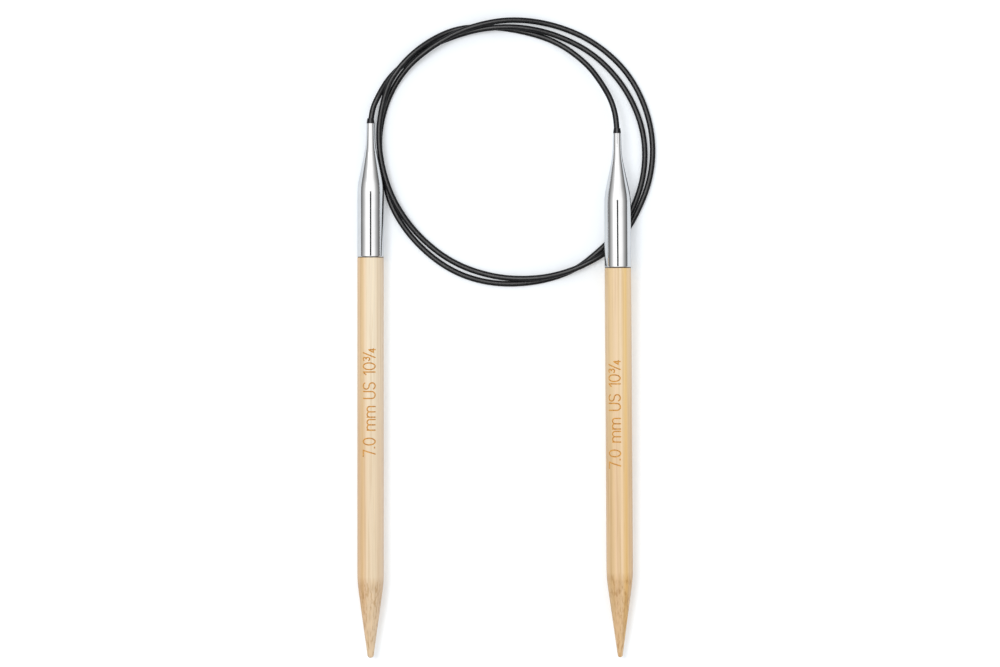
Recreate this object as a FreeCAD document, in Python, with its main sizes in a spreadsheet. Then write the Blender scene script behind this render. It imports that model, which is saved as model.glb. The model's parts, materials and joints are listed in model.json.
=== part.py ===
"""Circular knitting needle: two bamboo shafts in plated ferrules, joined by one flexible cord.

The object lies on the plane z = 0 with its tips towards -Y and its cord in loose loops at +Y. The
origin is below the middle of the two needles. Each needle turns on the end of the cord: a crimp stop
on the cord's steel core is trapped in the ferrule's chamber and is free to spin there.
"""
import FreeCAD, Part
import math
import os

import Sketcher
from FreeCAD import Placement, Rotation, Vector

SIZES = [
    # ferrule: a hollow turned cap, from its mouth where the cord comes out to its open end
    ("needle_dia", 7.0),
    ("ferrule_length", 35.3),
    ("mouth_dia", 2.15),
    ("neck_dia", 2.45),
    ("neck_length", 5.8),
    ("shoulder_depth", 16.5),
    ("neck_blend", 24.0),
    ("shoulder_blend", 20.0),
    ("rim_round", 0.3),
    ("cord_socket_dia", 1.66),
    ("cord_socket_depth", 2.2),
    ("throat_dia", 0.84),
    ("chamber_dia", 2.9),
    ("chamber_start", 11.0),
    ("tenon_socket_dia", 6.0),
    ("tenon_socket_depth", 15.0),
    # bamboo shafts: the tips are ground by hand, so the two are not quite alike
    ("tenon_dia", 5.96),
    ("tenon_length", 14.8),
    ("shaft_chamfer", 0.22),
    ("cone_blend", 40.0),
    ("left_shaft_length", 105.8),
    ("left_cone_length", 19.9),
    ("left_tip_dia", 1.52),
    ("left_tip_round", 0.75),
    ("right_shaft_length", 103.0),
    ("right_cone_length", 21.1),
    ("right_tip_dia", 1.19),
    ("right_tip_round", 0.58),
    # cord: a nylon jacket over a steel core
    ("jacket_dia", 1.5),
    ("jacket_bore", 0.7),
    ("core_dia", 0.68),
    ("jacket_insert", 1.9),
    ("core_insert", 16.2),
    # strain relief: the flared end of the jacket, just outside the ferrule's mouth
    ("relief_length", 1.3),
    ("relief_mouth_dia", 2.12),
    ("relief_tail_dia", 1.74),
    ("relief_bore", 1.51),
    ("swivel_gap", 0.06),
    # crimp stop: the sleeve on the end of the core, inside the ferrule's chamber
    ("crimp_dia", 2.6),
    ("crimp_length", 5.0),
    ("crimp_bore", 0.72),
    ("crimp_play", 0.2),
    ("crimp_chamfer", 0.3),
    # where the two needles lie
    ("left_axis_offset", 32.9),
    ("right_mouth_offset", 32.1),
    ("right_mouth_advance", 67.8),
    ("right_pitch_deg", 1.15),
    ("right_yaw_deg", 0.4),
    ("exit_length", 2.8),
]
SIDES = ("left", "right")

# The cord's route between its two straight exits. It leaves the left ferrule, drops to the surface,
# goes twice round and climbs to the right ferrule. Heights above the jacket's radius are the humps
# where it lies over another stretch of itself.
ROUTE_BETWEEN_EXITS = [
    # down from the left mouth, and under both later turns
    (-30.7, 78.4, 2.85),
    (-28.0, 83.0, 1.4),
    (-23.9, 86.9, 0.75),
    (-18.5, 90.7, 0.75),
    (-12.2, 93.45, 0.75),
    # first turn: over the last stretch, round the right side, under the right ferrule
    (-4.0, 95.8, 2.35),
    (6.0, 96.4, 2.65),
    (16.2, 94.4, 1.1),
    (26.6, 89.1, 0.75),
    (34.9, 80.0, 0.75),
    (39.75, 68.3, 0.75),
    (39.6, 56.0, 0.75),
    (34.8, 44.15, 0.75),
    (27.7, 37.0, 0.75),
    (20.6, 31.4, 0.75),
    (10.1, 28.35, 0.75),
    (-1.5, 28.2, 0.75),
    (-11.9, 31.6, 0.75),
    (-21.1, 38.9, 0.75),
    (-27.5, 48.1, 0.75),
    (-29.7, 57.0, 0.75),
    (-31.0, 66.0, 0.75),
    (-29.5, 74.6, 0.75),
    # second turn: over the first stretch and the last one, then under the right ferrule again
    (-26.45, 81.4, 0.95),
    (-21.9, 87.1, 2.5),
    (-14.3, 92.6, 3.2),
    (-6.0, 96.4, 3.7),
    (4.5, 98.4, 2.8),
    (16.0, 97.0, 0.9),
    (26.9, 92.2, 0.75),
    (36.3, 83.3, 0.75),
    (41.7, 70.4, 0.75),
    (41.8, 57.0, 0.75),
    (36.5, 44.35, 0.85),
    (31.3, 37.9, 0.75),
    # over the first turn at the bottom, beside it, then on top of it along the left ferrule
    (26.3, 34.6, 2.4),
    (19.5, 31.4, 2.6),
    (11.0, 29.5, 2.5),
    (0.0, 29.85, 0.9),
    (-11.3, 33.65, 0.75),
    (-20.4, 40.8, 0.85),
    (-26.7, 49.5, 2.1),
    (-29.9, 58.5, 2.5),
    (-31.0, 67.5, 2.5),
    (-30.0, 75.3, 2.6),
    (-27.6, 82.7, 3.9),
    (-20.8, 90.4, 3.0),
    # last stretch: under both turns, then up to the right mouth
    (-11.6, 95.8, 0.75),
    (-3.0, 96.6, 0.75),
    (7.0, 95.4, 0.75),
    (16.5, 92.4, 0.95),
    (24.1, 86.7, 2.3),
    (28.2, 81.1, 4.0),
    (30.9, 76.0, 5.5),
]
ARC_SHARE = 0.45  # how much of the shorter run beside a corner its arc may take

document = FreeCAD.newDocument("circular_needle")
sizes = document.addObject("Spreadsheet::Sheet", "sizes")
for row, (alias, number) in enumerate(SIZES, start=1):
    sizes.set(f"A{row}", alias)
    sizes.set(f"B{row}", str(number))
    sizes.setAlias(f"B{row}", alias)
document.recompute()


def size(alias):
    """The number in one of the sheet's named cells."""
    return float(sizes.get(alias))


def half_section(body, corners):
    """A closed outline on the body's XZ plane; a corner is two expressions, radius and height."""
    plane = next(item for item in body.Origin.OriginFeatures if item.Role == "XZ_Plane")
    sketch = body.newObject("Sketcher::SketchObject", body.Name + "_section")
    sketch.AttachmentSupport = (plane, [""])
    sketch.MapMode = "FlatFace"
    places = [[float(body.evalExpression(text)) for text in corner] for corner in corners]
    for start, end in zip(places, places[1:] + places[:1]):
        sketch.addGeometry(Part.LineSegment(Vector(*start, 0), Vector(*end, 0)), False)
    for index in range(len(corners)):
        following = (index + 1) % len(corners)
        sketch.addConstraint(Sketcher.Constraint("Coincident", index, 2, following, 1))
        bind_corner(sketch, index, corners[index], places[index])
    return sketch


def bind_corner(sketch, index, corner, place):
    """Tie one corner's two coordinates to their expressions, or to an axis where they are zero."""
    origin, x_axis, y_axis = -1, -1, -2
    for kind, text, number, axis in (
        ("DistanceX", corner[0], place[0], y_axis),
        ("DistanceY", corner[1], place[1], x_axis),
    ):
        if text == "0":
            sketch.addConstraint(Sketcher.Constraint("PointOnObject", index, 1, axis))
            continue
        place_in_list = sketch.addConstraint(Sketcher.Constraint(kind, origin, 1, index, 1, number))
        sketch.setExpression(f"Constraints[{place_in_list}]", text)


def turned_body(name, corners):
    """A body made by turning a half section about its own Z axis."""
    body = document.addObject("PartDesign::Body", name)
    body.Label = name
    sketch = half_section(body, corners)
    document.recompute()
    turning = body.newObject("PartDesign::Revolution", name + "_turning")
    turning.Profile = sketch
    turning.ReferenceAxis = (sketch, ["V_Axis"])
    turning.Angle = 360
    body.Tip = turning
    document.recompute()
    return body


def round_edge(body, label, radius_text, height_text, blend):
    """Round the ring-shaped edge at a radius and height, given as expressions."""
    wanted = (float(body.evalExpression(radius_text)), float(body.evalExpression(height_text)))
    sharp = body.Tip
    edges = [
        f"Edge{number}"
        for number, edge in enumerate(sharp.Shape.Edges, start=1)
        if isinstance(edge.Curve, Part.Circle)
        and math.dist((edge.Curve.Radius, edge.Curve.Center.z), wanted) < 0.001
    ]
    fillet = body.newObject("PartDesign::Fillet", f"{body.Name}_{label}")
    fillet.Base = (sharp, edges)
    fillet.setExpression("Radius", f"sizes.{blend}")
    body.Tip = fillet
    document.recompute()


def make_ferrule(side):
    """The plated cap: slim neck, shoulder and straight skirt, bored for cord, stop and tenon."""
    body = turned_body(f"{side}_ferrule", [
        ("sizes.cord_socket_dia / 2", "0"),
        ("sizes.mouth_dia / 2", "0"),
        ("sizes.neck_dia / 2", "sizes.neck_length"),
        ("sizes.needle_dia / 2", "sizes.shoulder_depth"),
        ("sizes.needle_dia / 2", "sizes.ferrule_length"),
        ("sizes.tenon_socket_dia / 2", "sizes.ferrule_length"),
        ("sizes.tenon_socket_dia / 2", "sizes.ferrule_length - sizes.tenon_socket_depth"),
        ("sizes.chamber_dia / 2", "sizes.ferrule_length - sizes.tenon_socket_depth"),
        ("sizes.chamber_dia / 2", "sizes.chamber_start"),
        ("sizes.throat_dia / 2", "sizes.chamber_start"),
        ("sizes.throat_dia / 2", "sizes.cord_socket_depth"),
        ("sizes.cord_socket_dia / 2", "sizes.cord_socket_depth"),
    ])
    round_edge(body, "neck", "sizes.neck_dia / 2", "sizes.neck_length", "neck_blend")
    round_edge(body, "shoulder", "sizes.needle_dia / 2", "sizes.shoulder_depth", "shoulder_blend")
    round_edge(body, "rim", "sizes.needle_dia / 2", "sizes.ferrule_length", "rim_round")
    return body


def make_shaft(side):
    """The bamboo: a tenon for the ferrule, a straight barrel and a hand-ground cone."""
    tip = f"sizes.ferrule_length + sizes.{side}_shaft_length"
    cone_start = f"{tip} - sizes.{side}_cone_length"
    body = turned_body(f"{side}_shaft", [
        ("0", "sizes.ferrule_length - sizes.tenon_length"),
        ("sizes.tenon_dia / 2", "sizes.ferrule_length - sizes.tenon_length"),
        ("sizes.tenon_dia / 2", "sizes.ferrule_length"),
        ("sizes.needle_dia / 2 - sizes.shaft_chamfer", "sizes.ferrule_length"),
        ("sizes.needle_dia / 2", "sizes.ferrule_length + sizes.shaft_chamfer"),
        ("sizes.needle_dia / 2", cone_start),
        (f"sizes.{side}_tip_dia / 2", tip),
        ("0", tip),
    ])
    round_edge(body, "cone", "sizes.needle_dia / 2", cone_start, "cone_blend")
    round_edge(body, "tip", f"sizes.{side}_tip_dia / 2", tip, f"{side}_tip_round")
    return body


def make_strain_relief(side):
    """The flared sleeve on the cord; its Z axis points out of the ferrule's mouth."""
    far_end = "sizes.swivel_gap + sizes.relief_length"
    return turned_body(f"{side}_strain_relief", [
        ("sizes.relief_bore / 2", "sizes.swivel_gap"),
        ("sizes.relief_mouth_dia / 2", "sizes.swivel_gap"),
        ("sizes.relief_tail_dia / 2", far_end),
        ("sizes.relief_bore / 2", far_end),
    ])


def make_crimp_stop(side):
    """The sleeve crimped on the core, which bears on the end of the ferrule's chamber."""
    near_end = "sizes.chamber_start + sizes.crimp_play"
    far_end = f"{near_end} + sizes.crimp_length"
    return turned_body(f"{side}_crimp_stop", [
        ("sizes.crimp_bore / 2", near_end),
        ("sizes.crimp_dia / 2 - sizes.crimp_chamfer", near_end),
        ("sizes.crimp_dia / 2", f"{near_end} + sizes.crimp_chamfer"),
        ("sizes.crimp_dia / 2", f"{far_end} - sizes.crimp_chamfer"),
        ("sizes.crimp_dia / 2 - sizes.crimp_chamfer", far_end),
        ("sizes.crimp_bore / 2", far_end),
    ])


def axis_placement(mouth, direction):
    """Stand a turned body's Z axis along a direction, with its zero height at the mouth."""
    return Placement(mouth, Rotation(Vector(0, 0, 1), direction))


def left_needle_axis():
    """The left needle lies flat, straight towards -Y."""
    half_length = (size("ferrule_length") + size("left_shaft_length")) / 2
    mouth = Vector(-size("left_axis_offset"), half_length, size("needle_dia") / 2)
    return mouth, Vector(0, -1, 0)


def right_needle_axis():
    """The right needle's skirt rests across the cord, so it leans on the end of its barrel."""
    pitch = math.radians(size("right_pitch_deg"))
    yaw = math.radians(size("right_yaw_deg"))
    radius = size("needle_dia") / 2
    cone_angle = math.atan((radius - size("right_tip_dia") / 2) / size("right_cone_length"))
    blend = size("cone_blend")
    whole_length = size("ferrule_length") + size("right_shaft_length")
    barrel_end = whole_length - size("right_cone_length") - blend * math.tan(cone_angle / 2)
    height = barrel_end * math.sin(pitch) + radius * math.cos(pitch) + blend * (1 - math.cos(pitch))
    mouth = Vector(size("right_mouth_offset"), size("right_mouth_advance"), height)
    level = math.cos(pitch)
    return mouth, Vector(math.sin(yaw) * level, -math.cos(yaw) * level, -math.sin(pitch))


def cord_route(insert):
    """The corners of the cord's route, with its two ends a given depth inside the mouths."""
    (left_mouth, left_way), (right_mouth, right_way) = NEEDLE_AXES["left"], NEEDLE_AXES["right"]
    outside = -size("exit_length")
    return (
        [left_mouth + left_way * insert, left_mouth + left_way * outside]
        + [Vector(*corner) for corner in ROUTE_BETWEEN_EXITS]
        + [right_mouth + right_way * outside, right_mouth + right_way * insert]
    )


def rounded_corners(route):
    """For each inner corner of a route: the two ends of its arc, the arc's middle and its radius."""
    arcs = []
    for before, corner, after in zip(route, route[1:], route[2:]):
        back = (before - corner).normalize()
        onward = (after - corner).normalize()
        half_turn = (math.pi - back.getAngle(onward)) / 2
        shorter_run = min(before.distanceToPoint(corner), corner.distanceToPoint(after))
        setback = ARC_SHARE * shorter_run
        radius = setback / math.tan(half_turn)
        inward = (back + onward).normalize()
        middle = corner + inward * (radius / math.cos(half_turn) - radius)
        arcs.append((corner + back * setback, middle, corner + onward * setback, radius))
    return arcs


def cord_path(insert):
    """Straight runs joined by tangent arcs; a deeper insert only lengthens the two end runs."""
    arcs = rounded_corners(cord_route(size("jacket_insert")))
    ends = cord_route(insert)
    edges = []
    reached = ends[0]
    for start, middle, end, _radius in arcs:
        edges.append(Part.LineSegment(reached, start).toShape())
        edges.append(Part.Arc(start, middle, end).toShape())
        reached = end
    edges.append(Part.LineSegment(reached, ends[-1]).toShape())
    return Part.Wire(edges)


def swept_tube(path, outer_dia, bore_dia=0.0):
    """A round section, hollow if it has a bore, carried along a path."""
    start = path.Edges[0].firstVertex().Point
    direction = path.Edges[0].tangentAt(path.Edges[0].FirstParameter)
    rings = [Part.Wire(Part.makeCircle(outer_dia / 2, start, direction))]
    if bore_dia:
        rings.append(Part.Wire(Part.makeCircle(bore_dia / 2, start, direction)))
    section = Part.Face(rings[0])
    if bore_dia:
        section = section.cut(Part.Face(rings[1])).Faces[0]
    tube = path.makePipe(section)
    return tube.Solids[0]


def make_cord_part(name, insert, outer_dia, bore_dia=0.0):
    """One layer of the cord as a plain tube or rod along the whole route."""
    path = cord_path(insert)
    part = document.addObject("Part::Feature", name)
    part.Label = name
    part.Shape = swept_tube(path, outer_dia, bore_dia)
    part.Placement = Placement()
    section = math.pi * (outer_dia ** 2 - bore_dia ** 2) / 4
    share = part.Shape.Volume / (section * path.Length)
    print(f"{name}: length {path.Length:.1f} mm, volume / (section x length) {share:.4f}")
    return part


def report_radii():
    """Print the cord's bend radii, so that no bend is tighter than such a cord allows."""
    radii = [arc[3] for arc in rounded_corners(cord_route(size("jacket_insert")))]
    print("cord bend radii:", " ".join(f"{radius:.0f}" for radius in radii))
    print(f"tightest bend {min(radii):.1f} mm = {min(radii) / size('jacket_dia'):.1f} diameters")


def write_parts(parts):
    """Check every object and every part's solid, then write one file per part."""
    document.recompute()
    for item in document.Objects:
        if "Invalid" in item.State or "Error" in item.State:
            raise RuntimeError(f"{item.Name} failed: {item.State}")
    for part in parts:
        if part.Shape.isNull() or not part.Shape.isValid():
            raise RuntimeError(f"{part.Label} has no valid shape")
    os.makedirs("parts", exist_ok=True)
    for part in parts:
        part.Shape.exportStep(f"parts/{part.Label}.step")
        print(f"{part.Label}: {len(part.Shape.Solids)} solid, {part.Shape.Volume:.2f} mm3")


NEEDLE_AXES = {"left": left_needle_axis(), "right": right_needle_axis()}

all_parts = []
for side in SIDES:
    mouth_point, tipward = NEEDLE_AXES[side]
    for piece in (make_ferrule(side), make_shaft(side), make_crimp_stop(side)):
        piece.Placement = axis_placement(mouth_point, tipward)
        all_parts.append(piece)
    relief = make_strain_relief(side)
    relief.Placement = axis_placement(mouth_point, -tipward)
    all_parts.append(relief)

report_radii()
all_parts.append(
    make_cord_part("cord_jacket", size("jacket_insert"), size("jacket_dia"), size("jacket_bore"))
)
all_parts.append(make_cord_part("cord_core", size("core_insert"), size("core_dia")))
write_parts(all_parts)
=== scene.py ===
"""Looks of the circular knitting needle: bamboo shafts, chrome ferrules and one black cord.

Each needle has its own local frame: the origin at the ferrule's mouth, +Z along the needle to its
tip, +X across to the right and +Y up. Lengths are in metres, written as a number times MM.
"""
import json
import math

import bpy
from mathutils import Matrix, Vector, noise


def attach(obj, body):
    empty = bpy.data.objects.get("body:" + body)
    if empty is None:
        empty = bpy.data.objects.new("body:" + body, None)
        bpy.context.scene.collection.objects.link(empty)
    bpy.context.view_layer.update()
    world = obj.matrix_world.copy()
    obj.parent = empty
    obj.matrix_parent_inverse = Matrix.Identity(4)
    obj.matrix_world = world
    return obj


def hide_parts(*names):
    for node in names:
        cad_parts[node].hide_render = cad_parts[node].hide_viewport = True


MM = 0.001
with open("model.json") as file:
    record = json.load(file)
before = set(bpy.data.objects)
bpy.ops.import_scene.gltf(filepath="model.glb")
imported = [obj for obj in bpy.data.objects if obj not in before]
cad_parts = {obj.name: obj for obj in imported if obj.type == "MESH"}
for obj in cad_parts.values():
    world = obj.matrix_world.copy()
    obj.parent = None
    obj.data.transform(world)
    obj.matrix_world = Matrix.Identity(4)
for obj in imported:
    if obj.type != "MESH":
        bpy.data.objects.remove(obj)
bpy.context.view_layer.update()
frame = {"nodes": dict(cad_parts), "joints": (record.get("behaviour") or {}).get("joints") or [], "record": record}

SIDES = ("left", "right")

# ------------------------------------------------------------------ sizes shared with the CAD
NEEDLE_RADIUS = 3.5 * MM
FERRULE_LENGTH = 35.3 * MM
TENON_RADIUS = 2.98 * MM
TENON_LENGTH = 14.8 * MM
SHAFT_CHAMFER = 0.22 * MM
CONE_BLEND = 40.0 * MM
SHAFT = {
    "left": {"length": 105.8 * MM, "cone": 19.9 * MM, "tip_radius": 0.76 * MM, "tip_round": 0.75 * MM},
    "right": {"length": 103.0 * MM, "cone": 21.1 * MM, "tip_radius": 0.595 * MM, "tip_round": 0.58 * MM},
}
CORD_DIAMETER = 1.5 * MM
CORD_INSERT = 1.9 * MM
CORD_STRAIGHT = 2.8 * MM
CORD_STEPS = 10
CORD_ROUNDNESS = 5

# The cord's route between its two straight ends, in millimetres: out of the left ferrule, twice
# round in loose loops, and into the right one.
CORD_ROUTE_MM = [
    (-30.7, 78.4, 2.85), (-28.0, 83.0, 1.4), (-23.9, 86.9, 0.75), (-18.5, 90.7, 0.75),
    (-12.2, 93.45, 0.75), (-4.0, 95.8, 2.35), (6.0, 96.4, 2.65), (16.2, 94.4, 1.1),
    (26.6, 89.1, 0.75), (34.9, 80.0, 0.75), (39.75, 68.3, 0.75), (39.6, 56.0, 0.75),
    (34.8, 44.15, 0.75), (27.7, 37.0, 0.75), (20.6, 31.4, 0.75), (10.1, 28.35, 0.75),
    (-1.5, 28.2, 0.75), (-11.9, 31.6, 0.75), (-21.1, 38.9, 0.75), (-27.5, 48.1, 0.75),
    (-29.7, 57.0, 0.75), (-31.0, 66.0, 0.75), (-29.5, 74.6, 0.75), (-26.45, 81.4, 0.95),
    (-21.9, 87.1, 2.5), (-14.3, 92.6, 3.2), (-6.0, 96.4, 3.7), (4.5, 98.4, 2.8),
    (16.0, 97.0, 0.9), (26.9, 92.2, 0.75), (36.3, 83.3, 0.75), (41.7, 70.4, 0.75),
    (41.8, 57.0, 0.75), (36.5, 44.35, 0.85), (31.3, 37.9, 0.75), (26.3, 34.6, 2.4),
    (19.5, 31.4, 2.6), (11.0, 29.5, 2.5), (0.0, 29.85, 0.9), (-11.3, 33.65, 0.75),
    (-20.4, 40.8, 0.85), (-26.7, 49.5, 2.1), (-29.9, 58.5, 2.5), (-31.0, 67.5, 2.5),
    (-30.0, 75.3, 2.6), (-27.6, 82.7, 3.9), (-20.8, 90.4, 3.0), (-11.6, 95.8, 0.75),
    (-3.0, 96.6, 0.75), (7.0, 95.4, 0.75), (16.5, 92.4, 0.95), (24.1, 86.7, 2.3),
    (28.2, 81.1, 4.0), (30.9, 76.0, 5.5),
]


def needle_axis(side):
    """(mouth of the ferrule, direction from there to the tip), from the swivel joint."""
    joint = next(j for j in frame["joints"] if j["name"] == f"{side}_swivel")
    return Vector(joint["pos_m"]), -Vector(joint["axis"]).normalized()


def needle_matrix(side):
    """The needle's local frame: +Z to the tip, +X across to the right, +Y up."""
    mouth, along = needle_axis(side)
    across = Vector((1, 0, 0))
    across = (across - along * across.dot(along)).normalized()
    up = along.cross(across)
    turn = Matrix((across, up, along)).transposed()
    return Matrix.Translation(mouth) @ turn.to_4x4()


def needle_tip(side):
    """How far the tip is from the ferrule's mouth."""
    return FERRULE_LENGTH + SHAFT[side]["length"]


def cone_start(side):
    """How far the cone's start is from the ferrule's mouth."""
    return needle_tip(side) - SHAFT[side]["cone"]


# ------------------------------------------------------------------ camera, then the cord
CAMERA_PLACE = (1.28 * MM, 15.1 * MM, 737.2 * MM)
CAMERA_LENS = 100.0
CAMERA_SENSOR = 36.0


def make_camera():
    """Straight above, with +Y up the picture, as the object was photographed."""
    data = bpy.data.cameras.new("camera")
    data.lens = CAMERA_LENS
    data.sensor_width = CAMERA_SENSOR
    camera = bpy.data.objects.new("camera", data)
    bpy.context.scene.collection.objects.link(camera)
    camera.location = CAMERA_PLACE
    bpy.context.scene.camera = camera


def cord_points():
    """The whole route in metres, with the straight ends that go into the ferrules."""
    left_mouth, left_along = needle_axis("left")
    right_mouth, right_along = needle_axis("right")
    start = [left_mouth + left_along * CORD_INSERT, left_mouth - left_along * CORD_STRAIGHT]
    end = [right_mouth - right_along * CORD_STRAIGHT, right_mouth + right_along * CORD_INSERT]
    return start + [Vector(p) * MM for p in CORD_ROUTE_MM] + end


def make_cord():
    """The nylon jacket: one smooth line through the route, round in section. The tube's radius is each
    point's radius times the bevel depth; the box that Blender gives a curve reaches one point radius past
    its points, so that one is the real radius and the depth is 1."""
    curve = bpy.data.curves.new("cord", "CURVE")
    curve.dimensions = "3D"
    curve.resolution_u = CORD_STEPS
    curve.bevel_depth = 1.0
    curve.bevel_resolution = CORD_ROUNDNESS
    curve.use_fill_caps = True
    points = cord_points()
    spline = curve.splines.new("NURBS")
    spline.points.add(len(points) - 1)
    for control, place in zip(spline.points, points):
        control.co = (*place, 1)
        control.radius = CORD_DIAMETER / 2
    spline.order_u = 3
    spline.use_endpoint_u = True
    cord = bpy.data.objects.new("cord_line", curve)
    bpy.context.scene.collection.objects.link(cord)
    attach(cord, "cord")
    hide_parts("cord_jacket")
    return cord


make_camera()
cord = make_cord()


# ------------------------------------------------------------------ node helpers
def new_material(name):
    """An empty node material with its output and one Principled shader."""
    material = bpy.data.materials.new(name)
    material.use_nodes = True
    tree = material.node_tree
    tree.nodes.clear()
    shader = tree.nodes.new("ShaderNodeBsdfPrincipled")
    output = tree.nodes.new("ShaderNodeOutputMaterial")
    tree.links.new(shader.outputs["BSDF"], output.inputs["Surface"])
    return material, tree, shader


def plug(tree, socket, value):
    """Links value to the socket if it is another node's socket, or else sets it."""
    if isinstance(value, bpy.types.NodeSocket):
        tree.links.new(value, socket)
    else:
        socket.default_value = value


def calc(tree, operation, first, second=0.0, third=0.0):
    """One Math node."""
    node = tree.nodes.new("ShaderNodeMath")
    node.operation = operation
    for socket, value in zip(node.inputs, (first, second, third)):
        plug(tree, socket, value)
    return node.outputs[0]


def mapped(tree, vector, scale, place=(0, 0, 0)):
    """The given coordinates, scaled and moved."""
    mapping = tree.nodes.new("ShaderNodeMapping")
    mapping.inputs["Scale"].default_value = scale
    mapping.inputs["Location"].default_value = place
    tree.links.new(vector, mapping.inputs["Vector"])
    return mapping.outputs["Vector"]


def object_space(tree, scale=(1, 1, 1)):
    """The piece's own coordinates, scaled."""
    coordinates = tree.nodes.new("ShaderNodeTexCoord")
    return mapped(tree, coordinates.outputs["Object"], scale)


def needle_space(tree, side, scale=(1, 1, 1), place=(0, 0, 0)):
    """The coordinates of the needle's local frame, scaled and moved."""
    coordinates = tree.nodes.new("ShaderNodeTexCoord")
    local = tree.nodes.new("ShaderNodeMapping")
    local.vector_type = "TEXTURE"
    local.inputs["Location"].default_value = needle_matrix(side).translation
    local.inputs["Rotation"].default_value = needle_matrix(side).to_euler()
    tree.links.new(coordinates.outputs["Object"], local.inputs["Vector"])
    return mapped(tree, local.outputs["Vector"], scale, place)


def noise_value(tree, vector, scale, detail=2.0, roughness=0.5):
    """The noise texture's value over the given coordinates."""
    node = tree.nodes.new("ShaderNodeTexNoise")
    node.inputs["Scale"].default_value = scale
    node.inputs["Detail"].default_value = detail
    node.inputs["Roughness"].default_value = roughness
    tree.links.new(vector, node.inputs["Vector"])
    return node.outputs["Fac"]


def ramp(tree, value, stops, smooth=True):
    """A colour ramp. stops are (position, (red, green, blue)), or (position, grey)."""
    node = tree.nodes.new("ShaderNodeValToRGB")
    band = node.color_ramp
    band.interpolation = "EASE" if smooth else "LINEAR"
    while len(band.elements) < len(stops):
        band.elements.new(0.5)
    for element, (position, colour) in zip(band.elements, stops):
        element.position = position
        rgb = colour if isinstance(colour, tuple) else (colour,) * 3
        element.color = (*rgb, 1)
    tree.links.new(value, node.inputs["Fac"])
    return node.outputs["Color"]


def stretch(tree, value, low, high, to_low, to_high):
    """Maps low..high to to_low..to_high, held at the ends."""
    node = tree.nodes.new("ShaderNodeMapRange")
    for name, number in zip(("From Min", "From Max", "To Min", "To Max"), (low, high, to_low, to_high)):
        node.inputs[name].default_value = number
    tree.links.new(value, node.inputs["Value"])
    return node.outputs["Result"]


def mix(tree, factor, first, second, blend="MIX"):
    """One colour Mix node."""
    node = tree.nodes.new("ShaderNodeMix")
    node.data_type = "RGBA"
    node.blend_type = blend
    colours = [s for s in node.inputs if s.type == "RGBA"]
    plug(tree, node.inputs["Factor"], factor)
    for socket, value in zip(colours, (first, second)):
        plug(tree, socket, (*value, 1) if isinstance(value, tuple) else value)
    return next(s for s in node.outputs if s.type == "RGBA")


def vary_roughness(tree, shader, value, low, high, smooth, rough):
    """Roughness that goes from smooth to rough as the value goes from low to high."""
    tree.links.new(stretch(tree, value, low, high, smooth, rough), shader.inputs["Roughness"])


def add_bump(tree, shader, height, distance):
    """Bump from a height, where a change of 1 is the given distance in metres."""
    node = tree.nodes.new("ShaderNodeBump")
    node.inputs["Strength"].default_value = 1.0
    node.inputs["Distance"].default_value = distance
    tree.links.new(height, node.inputs["Height"])
    tree.links.new(node.outputs["Normal"], shader.inputs["Normal"])


def srgb(red, green, blue):
    """A colour given as 0..255 screen values, in linear light."""
    def linear(value):
        share = value / 255
        return share / 12.92 if share <= 0.04045 else ((share + 0.055) / 1.055) ** 2.4
    return (linear(red), linear(green), linear(blue))


# ------------------------------------------------------------------ materials
def chrome_material():
    """Bright nickel-chrome plate: nearly a mirror, with faint wiping marks and a slight haze."""
    material, tree, shader = new_material("plated_chrome")
    shader.inputs["Metallic"].default_value = 1.0
    tint = ramp(tree, noise_value(tree, object_space(tree), scale=220.0), [
        (0.35, (0.90, 0.90, 0.905)), (0.65, (0.945, 0.945, 0.945))])
    tree.links.new(tint, shader.inputs["Base Color"])
    haze = noise_value(tree, object_space(tree), scale=420.0, detail=4.0)
    vary_roughness(tree, shader, haze, low=0.35, high=0.7, smooth=0.035, rough=0.075)
    rubs = noise_value(tree, object_space(tree, scale=(1.0, 0.06, 1.0)), scale=5200.0, detail=3.0)
    add_bump(tree, shader, rubs, distance=0.0006 * MM)
    return material


def nylon_material():
    """The cord's black nylon: satin, with a faint grain and small dull rubbed patches."""
    material, tree, shader = new_material("black_nylon")
    grain = noise_value(tree, object_space(tree), scale=900.0, detail=3.0)
    colour = ramp(tree, grain, [(0.3, (0.0025, 0.0025, 0.003)), (0.75, (0.006, 0.006, 0.0065))])
    tree.links.new(colour, shader.inputs["Base Color"])
    rubbed = noise_value(tree, object_space(tree), scale=260.0, detail=2.0)
    vary_roughness(tree, shader, rubbed, low=0.3, high=0.7, smooth=0.24, rough=0.32)
    shader.inputs["Specular IOR Level"].default_value = 0.15
    fine = noise_value(tree, object_space(tree), scale=5000.0, detail=2.0)
    add_bump(tree, shader, fine, distance=0.004 * MM)
    return material


def brass_material():
    """The crimp stops: drawn brass tube, a little dull."""
    material, tree, shader = new_material("crimp_brass")
    shader.inputs["Metallic"].default_value = 1.0
    tarnish = noise_value(tree, object_space(tree), scale=800.0, detail=4.0)
    colour = ramp(tree, tarnish, [(0.35, (0.62, 0.44, 0.19)), (0.7, (0.79, 0.62, 0.33))])
    tree.links.new(colour, shader.inputs["Base Color"])
    vary_roughness(tree, shader, tarnish, low=0.3, high=0.7, smooth=0.22, rough=0.42)
    drawn = noise_value(tree, object_space(tree, scale=(1.0, 0.05, 1.0)), scale=6000.0, detail=2.0)
    add_bump(tree, shader, drawn, distance=0.004 * MM)
    return material


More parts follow.
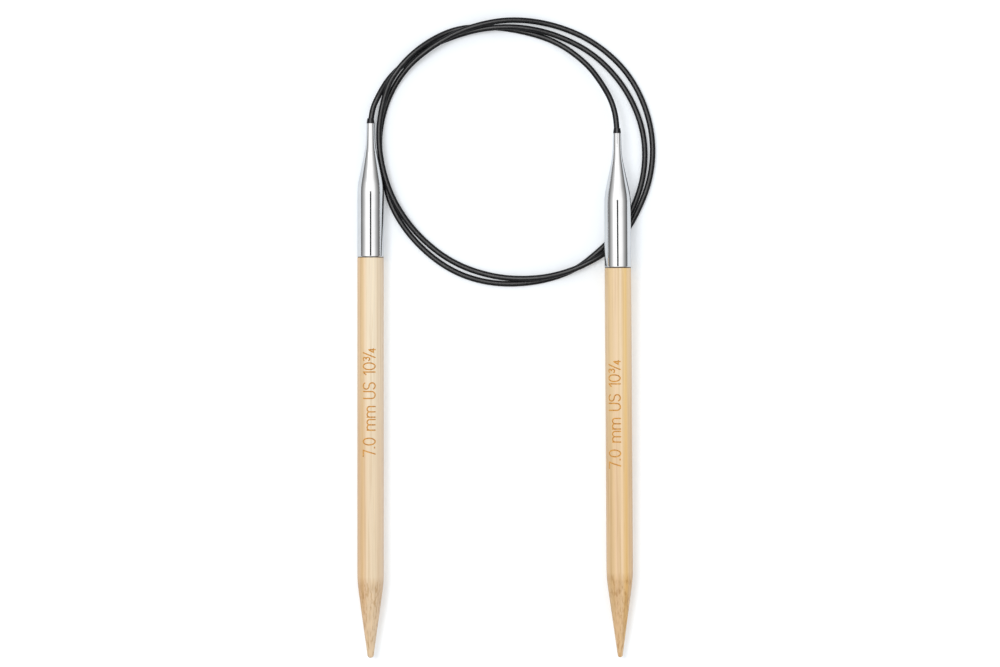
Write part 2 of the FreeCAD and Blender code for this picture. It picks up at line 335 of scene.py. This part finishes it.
def steel_material():
    """The cord's core: bright stranded steel wire."""
    material, tree, shader = new_material("core_steel")
    shader.inputs["Metallic"].default_value = 1.0
    wear = noise_value(tree, object_space(tree), scale=700.0, detail=3.0)
    colour = ramp(tree, wear, [(0.35, (0.42, 0.43, 0.45)), (0.7, (0.66, 0.67, 0.69))])
    tree.links.new(colour, shader.inputs["Base Color"])
    vary_roughness(tree, shader, wear, low=0.3, high=0.7, smooth=0.25, rough=0.4)
    wave = tree.nodes.new("ShaderNodeTexWave")
    wave.bands_direction = "DIAGONAL"
    wave.inputs["Scale"].default_value = 1200.0
    tree.links.new(object_space(tree), wave.inputs["Vector"])
    add_bump(tree, shader, wave.outputs["Fac"], distance=0.03 * MM)
    return material


# Bands of colour across each strip of bamboo, from the needle's left edge (0) to its right one (1): the bamboo's
# own streaks, with painted shade that darkens both edges.
BAMBOO_BANDS_WITH_EDGE_SHADE = {
    "left": [
        (0.00, srgb(214, 182, 145)), (0.10, srgb(224, 191, 150)), (0.17, srgb(224, 191, 146)),
        (0.23, srgb(227, 196, 151)), (0.29, srgb(237, 209, 175)), (0.40, srgb(238, 219, 190)),
        (0.50, srgb(242, 224, 198)), (0.62, srgb(243, 226, 199)), (0.78, srgb(241, 220, 192)),
        (1.00, srgb(234, 210, 182)),
    ],
    "right": [
        (0.00, srgb(220, 189, 150)), (0.16, srgb(224, 194, 148)), (0.27, srgb(232, 202, 158)),
        (0.38, srgb(238, 208, 172)), (0.50, srgb(236, 207, 166)), (0.58, srgb(244, 218, 183)),
        (0.68, srgb(243, 209, 154)), (0.76, srgb(242, 203, 136)), (0.86, srgb(240, 208, 164)),
        (1.00, srgb(230, 195, 152)),
    ],
}
# All the tints below multiply the bands' colours. The ground cone is darker than the barrel.
GROUND_TINT = {"left": (0.875, 0.82, 0.765), "right": (0.87, 0.82, 0.74)}
# The barrel darkens along this stretch, which is measured from the ferrule's mouth.
BARREL_SPAN = (57.0 * MM, 92.0 * MM)
BARREL_TINT = [(0.0, (1.02, 1.04, 1.04)), (1.0, (0.963, 0.927, 0.87))]
# Where each needle's grain is taken from, so that the two differ.
GRAIN_PLACE = {"left": (0.013, 0.002, 0.0), "right": (0.041, 0.017, 0.05)}
GRAIN_WANDER = 0.9 * MM
FIBRE_COLOURS = [(0.36, (0.88, 0.83, 0.75)), (0.49, (0.99, 0.985, 0.98)), (0.64, (1.06, 1.05, 1.04))]
FIBRE_SHARE = 0.85
HAIR_COLOURS = [(0.27, (0.84, 0.77, 0.66)), (0.36, (1, 1, 1))]
HAIR_SHARE = 0.6
DASH_COLOURS = [(0.34, (0.80, 0.70, 0.56)), (0.50, (1, 1, 1)), (0.68, (1.07, 1.05, 1.0))]
GROUND_BEFORE_CONE = 1.7 * MM
GROUND_AFTER_CONE = 0.5 * MM
BAMBOO_RELIEF = 0.012 * MM


def bamboo_material(side):
    """Lacquered bamboo. Its fibres run along the needle, so the ground cone cuts through them."""
    material, tree, shader = new_material(f"{side}_bamboo")
    split = tree.nodes.new("ShaderNodeSeparateXYZ")
    tree.links.new(needle_space(tree, side), split.inputs["Vector"])
    wander_space = needle_space(tree, side, scale=(1, 1, 0.02), place=GRAIN_PLACE[side])
    wander = noise_value(tree, wander_space, scale=300.0)
    drift = calc(tree, "MULTIPLY_ADD", wander, GRAIN_WANDER, -GRAIN_WANDER / 2)
    drifted = calc(tree, "ADD", split.outputs["X"], drift)
    across = stretch(tree, drifted, -NEEDLE_RADIUS, NEEDLE_RADIUS, 0, 1)
    # The bands are the bamboo's streaks plus painted shade that darkens both edges of the needle.
    banded_with_shade = ramp(tree, across, BAMBOO_BANDS_WITH_EDGE_SHADE[side], smooth=False)

    fibre_space = needle_space(tree, side, scale=(1, 1, 0.012), place=GRAIN_PLACE[side])
    fibres = noise_value(tree, fibre_space, scale=1500.0, detail=3.0, roughness=0.6)
    streaks = ramp(tree, fibres, FIBRE_COLOURS)
    lined = mix(tree, FIBRE_SHARE, banded_with_shade, streaks, "MULTIPLY")

    hair_space = needle_space(tree, side, scale=(1, 1, 0.02), place=GRAIN_PLACE[side])
    hairs = noise_value(tree, hair_space, scale=3600.0, detail=2.0, roughness=0.5)
    hair_line = ramp(tree, hairs, HAIR_COLOURS, smooth=False)
    haired = mix(tree, HAIR_SHARE, lined, hair_line, "MULTIPLY")

    along = stretch(tree, split.outputs["Z"], *BARREL_SPAN, 0, 1)
    toned = mix(tree, 1.0, haired, ramp(tree, along, BARREL_TINT), "MULTIPLY")

    ground_from = cone_start(side) - GROUND_BEFORE_CONE
    ground_to = cone_start(side) + GROUND_AFTER_CONE
    on_cone = stretch(tree, split.outputs["Z"], ground_from, ground_to, 0, 1)
    dash_space = needle_space(tree, side, scale=(1, 1, 0.22), place=GRAIN_PLACE[side])
    dashes = noise_value(tree, dash_space, scale=1900.0, detail=3.0, roughness=0.55)
    dash_colour = ramp(tree, dashes, DASH_COLOURS)
    ground = mix(tree, 1.0, GROUND_TINT[side], dash_colour, "MULTIPLY")
    ground_all = mix(tree, on_cone, (1.0, 1.0, 1.0), ground)
    colour = mix(tree, 1.0, toned, ground_all, "MULTIPLY")
    tree.links.new(colour, shader.inputs["Base Color"])

    polish_space = needle_space(tree, side, scale=(1, 1, 0.2), place=GRAIN_PLACE[side])
    polish = noise_value(tree, polish_space, scale=500.0, detail=3.0)
    vary_roughness(tree, shader, polish, low=0.3, high=0.7, smooth=0.30, rough=0.46)
    shader.inputs["Coat Weight"].default_value = 0.25
    shader.inputs["Coat Roughness"].default_value = 0.22
    relief = calc(tree, "MULTIPLY_ADD", dashes, on_cone, fibres)
    add_bump(tree, shader, relief, BAMBOO_RELIEF)
    return material


def burnt_material():
    """The size mark: bamboo scorched orange-brown by a laser, darker where the beam paused."""
    material, tree, shader = new_material("burnt_mark")
    depth = noise_value(tree, object_space(tree), scale=2600.0, detail=3.0, roughness=0.6)
    colour = ramp(tree, depth, [
        (0.30, srgb(152, 98, 44)), (0.48, srgb(208, 144, 58)), (0.70, srgb(230, 172, 82))])
    tree.links.new(colour, shader.inputs["Base Color"])
    shader.inputs["Roughness"].default_value = 0.6
    fine = noise_value(tree, object_space(tree), scale=7000.0, detail=2.0)
    add_bump(tree, shader, fine, distance=0.01 * MM)
    return material


# Both sheets of the floor are slightly blue, which evens out the warm light that the bamboo throws on it.
FLOOR_TINT = (0.95, 1.0, 1.05)


def floor_material(name, shade, glow):
    """Smooth white acrylic, lit a little from below."""
    material, tree, shader = new_material(name)
    shader.inputs["Base Color"].default_value = (*(shade * part for part in FLOOR_TINT), 1)
    shader.inputs["Roughness"].default_value = 0.9
    shader.inputs["Specular IOR Level"].default_value = 0.0
    shader.inputs["Emission Color"].default_value = (1, 1, 1, 1)
    shader.inputs["Emission Strength"].default_value = glow
    return material


MATERIALS = {
    "plated_metal": chrome_material(),
    "black_nylon": nylon_material(),
    "crimp_metal": brass_material(),
    "core_steel": steel_material(),
}


def give(piece, material):
    """The piece's only material."""
    piece.data.materials.clear()
    piece.data.materials.append(material)


# ------------------------------------------------------------------ mesh helpers
TURNED_SIDES = 128
SHARP_ANGLE = math.radians(35)


def mesh_piece(name, vertices, faces, material, side, sharp_angle=SHARP_ANGLE):
    """A mesh given in the needle's local frame, that rides on the needle. Like a node's, its object sits
    at the origin and its place is in its mesh."""
    data = bpy.data.meshes.new(name)
    data.from_pydata(vertices, [], faces)
    data.transform(needle_matrix(side))
    data.validate()
    piece = bpy.data.objects.new(name, data)
    bpy.context.scene.collection.objects.link(piece)
    data.shade_smooth()
    data.set_sharp_from_angle(angle=sharp_angle)
    give(piece, material)
    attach(piece, f"{side}_needle")
    return piece


def rings(profile, wobble):
    """The vertices of one ring for each (z, radius). wobble(z, angle) is added to a radius."""
    vertices = []
    for z, radius in profile:
        for k in range(TURNED_SIDES):
            angle = 2 * math.pi * k / TURNED_SIDES
            r = radius + wobble(z, angle)
            vertices.append((r * math.cos(angle), r * math.sin(angle), z))
    return vertices


def turned(profile, wobble):
    """(vertices, faces) of a closed solid of revolution. profile is [(z, radius)] without its two ends on
    the axis, which are at the first and last z."""
    vertices = [(0, 0, profile[0][0]), *rings(profile, wobble), (0, 0, profile[-1][0])]
    last = len(vertices) - 1
    faces = []
    for k in range(TURNED_SIDES):
        after = (k + 1) % TURNED_SIDES
        faces.append((0, 1 + after, 1 + k))
        for ring in range(len(profile) - 1):
            low = 1 + ring * TURNED_SIDES
            high = low + TURNED_SIDES
            faces.append((low + k, low + after, high + after, high + k))
        top = last - TURNED_SIDES
        faces.append((top + k, top + after, last))
    return vertices, faces


def turned_ring(profile, wobble):
    """(vertices, faces) of a closed ring round the axis. profile is its section, [(z, radius)]."""
    faces = []
    for ring in range(len(profile)):
        low = ring * TURNED_SIDES
        high = (ring + 1) % len(profile) * TURNED_SIDES
        for k in range(TURNED_SIDES):
            after = (k + 1) % TURNED_SIDES
            faces.append((low + k, low + after, high + after, high + k))
    return rings(profile, wobble), faces


def steps(start, end, count):
    """count + 1 even values from start to end."""
    return [start + (end - start) * i / count for i in range(count + 1)]


# ------------------------------------------------------------------ bamboo shafts
BARREL_RINGS = 60
BLEND_RINGS = 8
CONE_RINGS = 24
TIP_RINGS = 12
TIP_END_RADIUS = 0.01 * MM


def shaft_profile(side):
    """Tenon, shoulder, straight barrel, blended cone and rounded tip."""
    shape = SHAFT[side]
    tip = needle_tip(side)
    slope = math.atan((NEEDLE_RADIUS - shape["tip_radius"]) / shape["cone"])
    corner = cone_start(side)
    tangent = CONE_BLEND * math.tan(slope / 2)
    profile = [
        (FERRULE_LENGTH - TENON_LENGTH, TENON_RADIUS),
        (FERRULE_LENGTH, TENON_RADIUS),
        (FERRULE_LENGTH, NEEDLE_RADIUS - SHAFT_CHAMFER),
    ]
    barrel = steps(FERRULE_LENGTH + SHAFT_CHAMFER, corner - tangent, BARREL_RINGS)
    profile += [(z, NEEDLE_RADIUS) for z in barrel]
    for turn in steps(0, slope, BLEND_RINGS)[1:]:
        z = corner - tangent + CONE_BLEND * math.sin(turn)
        profile.append((z, NEEDLE_RADIUS - CONE_BLEND * (1 - math.cos(turn))))
    round_radius = shape["tip_round"]
    round_z = tip - round_radius
    centre = round_radius * (1 / math.cos(slope) - math.tan(slope))
    edge_offset = max(shape["tip_radius"] - centre, 0)
    first_z = round_z + round_radius * math.sin(slope)
    first_r = edge_offset + round_radius * math.cos(slope)
    last_z, last_r = profile[-1]
    for share in steps(0, 1, CONE_RINGS)[1:-1]:
        profile.append((last_z + (first_z - last_z) * share, last_r + (first_r - last_r) * share))
    for turn in steps(slope, math.pi / 2, TIP_RINGS)[:-1]:
        z = round_z + round_radius * math.sin(turn)
        profile.append((z, edge_offset + round_radius * math.cos(turn)))
    profile.append((tip, max(edge_offset, TIP_END_RADIUS)))
    return profile


# How uneven the hand-ground cone is. The end of the tip is left smooth.
GRIND_DEPTH = 0.02 * MM
GRIND_WAVE = 4 * MM
GRIND_INWARD = 0.4
GRIND_END_MARGIN = 1.0 * MM
GRIND_SEED_STEP = 7.0


def make_shaft(side):
    """One bamboo shaft. The cone is ground by hand, so it is very slightly uneven."""
    first = cone_start(side)
    last = needle_tip(side) - GRIND_END_MARGIN
    seed = SIDES.index(side) * GRIND_SEED_STEP

    def wobble(z, angle):
        if z < first or z > last:
            return 0
        uneven = noise.noise(Vector((math.cos(angle) + seed, math.sin(angle), z / GRIND_WAVE)))
        return (uneven - GRIND_INWARD) * GRIND_DEPTH

    vertices, faces = turned(shaft_profile(side), wobble)
    shaft = mesh_piece(f"{side}_bamboo_shaft", vertices, faces, bamboo_material(side), side)
    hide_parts(f"{side}_shaft")


# ------------------------------------------------------------------ glue lines
GLUE_RADIUS = 3.45 * MM
GLUE_START = -0.2 * MM
GLUE_END = 0.2 * MM
GLUE_BEVEL = 0.06 * MM
GLUE_WOBBLE = 0.07 * MM
GLUE_LUMPS = 4
GLUE_SEED = 5


def glue_material():
    """A thin line of dark set epoxy that shows in the joint."""
    material, tree, shader = new_material("glue_line")
    uneven = noise_value(tree, object_space(tree), scale=1400.0, detail=3.0)
    colour = ramp(tree, uneven, [(0.35, (0.018, 0.012, 0.008)), (0.7, (0.075, 0.048, 0.028))])
    tree.links.new(colour, shader.inputs["Base Color"])
    shader.inputs["Roughness"].default_value = 0.5
    add_bump(tree, shader, uneven, distance=0.03 * MM)
    return material


def make_glue_line(side, material):
    """The ring of glue between the ferrule's rim and the shoulder of the bamboo."""
    low = FERRULE_LENGTH + GLUE_START
    high = FERRULE_LENGTH + GLUE_END
    middle = (low + high) / 2
    edge = GLUE_RADIUS - GLUE_BEVEL
    profile = [(low, TENON_RADIUS), (low, edge), (middle, GLUE_RADIUS), (high, edge), (high, TENON_RADIUS)]

    def wobble(z, angle):
        if z != middle:
            return 0
        place = (GLUE_LUMPS * math.cos(angle), GLUE_LUMPS * math.sin(angle), GLUE_SEED)
        return noise.noise(Vector(place)) * GLUE_WOBBLE

    ring = mesh_piece(f"{side}_glue_line", *turned_ring(profile, wobble), material, side)


# ------------------------------------------------------------------ size marks
CAP_HEIGHT = 3.25 * MM
STROKE_WIDTH = 0.34 * MM
LETTER_GAP = 0.62 * MM
WORD_GAP = 1.5 * MM
# Where the first digit starts, from the ferrule's mouth, and how far the mark is turned to the left.
MARK_START = {"left": 87.8 * MM, "right": 88.1 * MM}
MARK_TURN = {"left": math.radians(4), "right": math.radians(22)}
MARK_PROUD = 0.012 * MM
MARK_SUNK = 0.03 * MM
MARK_STEP = 0.25 * MM
MARK_SHARP_ANGLE = math.radians(50)
MITRE_LIMIT = 1.2
FRACTION_SIZE = 0.55
CLOSER_BEFORE_SLASH = 0.6
CLOSER_AFTER_SLASH = 0.9


def arc(centre_x, centre_y, radius_x, radius_y, start, end, count=10):
    """Points on an ellipse, by angle in degrees."""
    return [
        (centre_x + radius_x * math.cos(math.radians(a)), centre_y + radius_y * math.sin(math.radians(a)))
        for a in steps(start, end, count)
    ]


def glyph(letter):
    """(width, strokes) of one plain letter or digit. The height is 1; strokes are lines of points."""
    shapes = {
        "7": (0.50, [[(0.0, 1.0), (0.50, 1.0), (0.20, 0.0)]]),
        ".": (0.06, [[(0.0, 0.05), (0.06, 0.05)]]),
        "0": (0.54, [arc(0.27, 0.5, 0.27, 0.5, 90, 450, 28)]),
        "m": (0.86, [
            [(0.0, 0.0), (0.0, 0.66)],
            [*arc(0.215, 0.44, 0.215, 0.22, 180, 0), (0.43, 0.0)],
            [*arc(0.645, 0.44, 0.215, 0.22, 180, 0), (0.86, 0.0)],
        ]),
        "U": (0.56, [[(0.0, 1.0), *arc(0.28, 0.28, 0.28, 0.28, 180, 360), (0.56, 1.0)]]),
        "S": (0.52, [[
            *arc(0.26, 0.75, 0.26, 0.25, 25, 270, 12),
            *arc(0.26, 0.25, 0.26, 0.25, 90, -155, 12)[1:],
        ]]),
        "1": (0.22, [[(0.0, 0.76), (0.22, 1.0), (0.22, 0.0)]]),
        "3": (0.46, [[
            *arc(0.22, 0.76, 0.24, 0.24, 150, -80, 12),
            *arc(0.22, 0.27, 0.26, 0.27, 80, -150, 12),
        ]]),
        "4": (0.52, [[(0.40, 0.0), (0.40, 1.0), (0.0, 0.28), (0.52, 0.28)]]),
        "/": (0.40, [[(0.0, 0.0), (0.40, 1.0)]]),
    }
    return shapes[letter]


def dense(points):
    """The same line with points close enough together to follow the round surface."""
    result = [points[0]]
    for a, b in zip(points, points[1:]):
        count = max(1, math.ceil(math.dist(a, b) / MARK_STEP))
        result += [(a[0] + (b[0] - a[0]) * t, a[1] + (b[1] - a[1]) * t) for t in steps(0, 1, count)[1:]]
    return result


def mark_strokes():
    """Every stroke of the size mark as (along, up) points, in metres."""
    strokes = []
    along = 0.0

    def add(text, size, lift):
        nonlocal along
        for letter in text:
            width, lines = glyph(letter)
            for line in lines:
                strokes.append(dense([(along + x * size, lift + y * size) for x, y in line]))
            along += width * size + LETTER_GAP * (size / CAP_HEIGHT)

    for word in ("7.0", "mm", "US", "10"):
        add(word, CAP_HEIGHT, 0.0)
        along += WORD_GAP if word != "10" else 0.0
    small = CAP_HEIGHT * FRACTION_SIZE
    add("3", small, CAP_HEIGHT - small)
    along -= LETTER_GAP * CLOSER_BEFORE_SLASH
    add("/", CAP_HEIGHT, 0.0)
    along -= LETTER_GAP * CLOSER_AFTER_SLASH
    add("4", small, 0.0)
    return strokes


def stroke_outline(points, half):
    """Left and right edges of a stroke, mitred at its corners and rounded at its ends."""
    def normal(a, b):
        dx, dy = b[0] - a[0], b[1] - a[1]
        size = math.hypot(dx, dy)
        return (-dy / size, dx / size)

    normals = [normal(a, b) for a, b in zip(points, points[1:])]
    closed = math.dist(points[0], points[-1]) < half
    left, right = [], []
    for i, (x, y) in enumerate(points):
        before = normals[i - 1] if i or closed else normals[i]
        after = normals[i] if i < len(normals) else (normals[0] if closed else normals[-1])
        sx, sy = before[0] + after[0], before[1] + after[1]
        scale = 2 / max(sx * sx + sy * sy, MITRE_LIMIT)
        left.append((x + sx * half * scale, y + sy * half * scale))
        right.append((x - sx * half * scale, y - sy * half * scale))
    if closed:
        return left, right
    for ends, (x, y), (nx, ny), sign in (
            (0, points[0], normals[0], -1), (len(left), points[-1], normals[-1], 1)):
        tx, ty = ny * sign, -nx * sign
        for turn in ((60, 30) if ends == 0 else (30, 60)):
            c = math.cos(math.radians(turn)) * half
            s = math.sin(math.radians(turn)) * half
            place = 0 if ends == 0 and turn == 60 else (1 if ends == 0 else len(left))
            left.insert(place, (x + nx * c + tx * s, y + ny * c + ty * s))
            right.insert(place, (x - nx * c + tx * s, y - ny * c + ty * s))
    return left, right


def make_mark(side, material):
    """The needle's size, burnt into the bamboo: thin strokes that follow the round surface."""
    vertices, faces = [], []

    def place(along, up, radius):
        angle = up / NEEDLE_RADIUS - CAP_HEIGHT / 2 / NEEDLE_RADIUS + MARK_TURN[side]
        return (-radius * math.sin(angle), radius * math.cos(angle), MARK_START[side] - along)

    for points in mark_strokes():
        left, right = stroke_outline(points, STROKE_WIDTH / 2)
        first = len(vertices)
        for (lx, ly), (rx, ry) in zip(left, right):
            for radius in (NEEDLE_RADIUS + MARK_PROUD, NEEDLE_RADIUS - MARK_SUNK):
                vertices.append(place(lx, ly, radius))
                vertices.append(place(rx, ry, radius))
        count = len(left)
        for i in range(count - 1):
            a, b = first + 4 * i, first + 4 * (i + 1)
            faces += [(a, a + 1, b + 1, b), (a + 2, b + 2, b + 3, a + 3),
                      (a, b, b + 2, a + 2), (a + 1, a + 3, b + 3, b + 1)]
        if math.dist(points[0], points[-1]) >= STROKE_WIDTH / 2:
            last = first + 4 * (count - 1)
            faces += [(first, first + 2, first + 3, first + 1), (last, last + 1, last + 3, last + 2)]
    mark = mesh_piece(f"{side}_size_mark", vertices, faces, material, side, MARK_SHARP_ANGLE)


# ------------------------------------------------------------------ the object
burnt = burnt_material()
glue = glue_material()
for side in SIDES:
    make_shaft(side)
    make_glue_line(side, glue)
    make_mark(side, burnt)
give(cord, MATERIALS["black_nylon"])
for row in frame["record"]["subparts"]:
    if row["material_slot"] in MATERIALS:
        give(frame["nodes"][row["node"]], MATERIALS[row["material_slot"]])


# ------------------------------------------------------------------ stage and light
FLOOR_HALF = 6.0
FLOOR_SHADE = 0.9
FLOOR_GLOW = 0.24
REFLECTED_SHADE = 0.8
REFLECTED_HEIGHT = 0.005 * MM
WORLD_STRENGTH = 0.72
KEY_PLACE = (-0.42, 0.16, 1.15)
KEY_SIZE = 0.45
KEY_POWER = 4.4
CORD_LIGHT_PLACE = (-0.2, 0.2, 1.2)
CORD_LIGHT_SIZE = 1.2
CORD_LIGHT_POWER = 40.0
# The dark card over the table.
CARD_COLOUR = (0.02, 0.02, 0.02)
CARD_HALF = (0.085, 0.115)
CARD_HEIGHT = 0.75

# How bright the studio is in a reflection, by the sine of its height above the horizon.
STUDIO_BANDS = [
    (0.00, 0.10), (0.10, 0.13), (0.28, 0.24), (0.44, 0.38), (0.59, 0.53), (0.72, 0.80), (0.80, 1.10),
    (1.00, 1.15),
]
STUDIO_TILT = -0.16
SOFTBOX_PLACE = (-0.2, 0.56, 0.8)
SOFTBOX_EDGE = (0.965, 0.985)
SOFTBOX_LIGHT = 2.6


def flat_sheet(name, half_x, half_y, centre, material):
    """A level rectangle of the stage, facing up."""
    data = bpy.data.meshes.new(name)
    corners = [(-half_x, -half_y, 0), (half_x, -half_y, 0), (half_x, half_y, 0), (-half_x, half_y, 0)]
    data.from_pydata(corners, [], [(0, 1, 2, 3)])
    sheet = bpy.data.objects.new(name, data)
    bpy.context.scene.collection.objects.link(sheet)
    sheet.location = centre
    give(sheet, material)
    return sheet


def make_floor():
    """The white table top. Its reflection in the chrome is a separate, duller sheet."""
    white = floor_material("floor", FLOOR_SHADE, FLOOR_GLOW)
    seen = flat_sheet("floor", FLOOR_HALF, FLOOR_HALF, (0, 0, 0), white)
    seen.visible_glossy = False
    material = floor_material("floor_in_chrome", REFLECTED_SHADE, 0.0)
    reflected = flat_sheet("floor_in_chrome", FLOOR_HALF, FLOOR_HALF, (0, 0, REFLECTED_HEIGHT), material)
    reflected.visible_camera = False
    reflected.visible_diffuse = False
    reflected.visible_shadow = False


def make_dark_card():
    """The dark camera over the table, which shows only as a thin line in the chrome."""
    material, tree, shader = new_material("dark_card")
    shader.inputs["Base Color"].default_value = (*CARD_COLOUR, 1)
    card = flat_sheet("dark_card", *CARD_HALF, (*CAMERA_PLACE[:2], CARD_HEIGHT), material)
    card.visible_camera = False
    card.visible_diffuse = False
    card.visible_shadow = False


def make_world():
    """Even white light, a little brighter where the camera sees it behind the table. In reflections the
    studio darkens towards the horizon, like a real room."""
    world = bpy.data.worlds.new("studio")
    bpy.context.scene.world = world
    world.use_nodes = True
    tree = world.node_tree
    tree.nodes.clear()
    coordinates = tree.nodes.new("ShaderNodeTexCoord")
    split = tree.nodes.new("ShaderNodeSeparateXYZ")
    tree.links.new(coordinates.outputs["Generated"], split.inputs["Vector"])
    height = calc(tree, "MAXIMUM", split.outputs["Z"], 0.0)
    room = ramp(tree, height, STUDIO_BANDS, smooth=False)
    tilt = calc(tree, "MULTIPLY_ADD", split.outputs["X"], STUDIO_TILT, 1.0)
    towards = tree.nodes.new("ShaderNodeVectorMath")
    towards.operation = "DOT_PRODUCT"
    tree.links.new(coordinates.outputs["Generated"], towards.inputs[0])
    towards.inputs[1].default_value = Vector(SOFTBOX_PLACE).normalized()
    softbox = stretch(tree, towards.outputs["Value"], *SOFTBOX_EDGE, 0, SOFTBOX_LIGHT)
    path = tree.nodes.new("ShaderNodeLightPath")
    even = tree.nodes.new("ShaderNodeBackground")
    even.inputs["Color"].default_value = (1, 1, 1, 1)
    extra = 1 - WORLD_STRENGTH
    brightness = calc(tree, "MULTIPLY_ADD", path.outputs["Is Camera Ray"], extra, WORLD_STRENGTH)
    tree.links.new(brightness, even.inputs["Strength"])
    seen = tree.nodes.new("ShaderNodeBackground")
    tree.links.new(room, seen.inputs["Color"])
    tree.links.new(calc(tree, "ADD", tilt, softbox), seen.inputs["Strength"])
    join = tree.nodes.new("ShaderNodeMixShader")
    output = tree.nodes.new("ShaderNodeOutputWorld")
    tree.links.new(path.outputs["Is Glossy Ray"], join.inputs["Fac"])
    tree.links.new(even.outputs["Background"], join.inputs[1])
    tree.links.new(seen.outputs["Background"], join.inputs[2])
    tree.links.new(join.outputs["Shader"], output.inputs["Surface"])


def disk_light(name, place, size, power):
    """A round area light that faces straight down."""
    data = bpy.data.lights.new(name, "AREA")
    data.shape = "DISK"
    data.size = size
    data.energy = power
    light = bpy.data.objects.new(name, data)
    bpy.context.scene.collection.objects.link(light)
    light.location = place
    return light


def make_key_light():
    """One large soft light, up on the left, aimed at the object."""
    light = disk_light("key", KEY_PLACE, KEY_SIZE, KEY_POWER)
    light.rotation_euler = Vector(KEY_PLACE).to_track_quat("Z", "Y").to_euler()
    light.visible_glossy = False


def make_cord_light():
    """A wide overhead light that only the black pieces catch. It draws the soft highlight on the cord."""
    light = disk_light("over_cord", CORD_LIGHT_PLACE, CORD_LIGHT_SIZE, CORD_LIGHT_POWER)
    black = bpy.data.collections.new("black_pieces")
    black.objects.link(cord)
    for side in SIDES:
        black.objects.link(frame["nodes"][f"{side}_strain_relief"])
    light.light_linking.receiver_collection = black


make_floor()
make_dark_card()
make_world()
make_key_light()
make_cord_light()
bpy.context.scene.view_settings.view_transform = "Standard"

bpy.context.view_layer.update()
